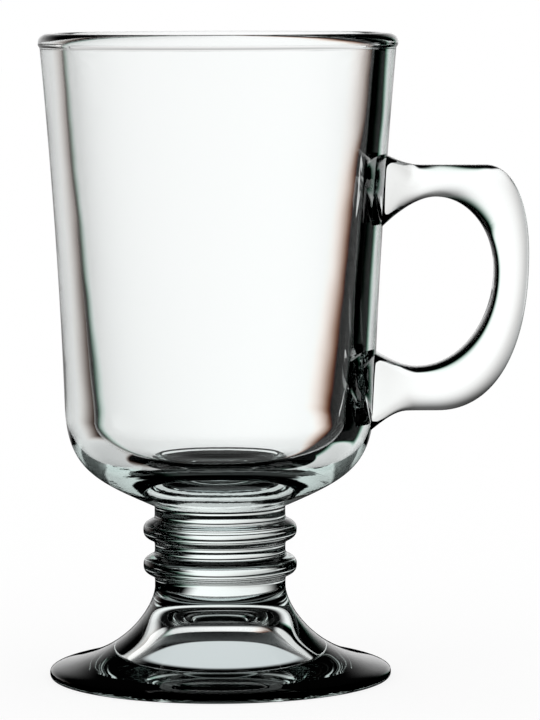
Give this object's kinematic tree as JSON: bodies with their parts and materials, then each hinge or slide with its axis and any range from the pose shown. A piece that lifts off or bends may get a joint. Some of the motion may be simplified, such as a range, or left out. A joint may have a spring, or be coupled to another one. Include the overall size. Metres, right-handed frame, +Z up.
{
  "type": "glass cup",
  "caption": "Footed glass cup with a tapered, beaded bowl, a closed side handle, a short ringed stem and a flared foot that is hollow underneath.",
  "frame": {"origin": "on the table, in the middle of the cup's length with its handle", "axes": "+Z up, +X towards the handle, +Y away from the pictured side"},
  "size_m": [0.104, 0.0762, 0.1372],
  "materials": {
    "glass": "gloss"
  },
  "bodies": {
    "root": {"bowl": "glass", "handle": "glass", "stem": "glass", "foot": "glass"}
  },
  "joints": []
}
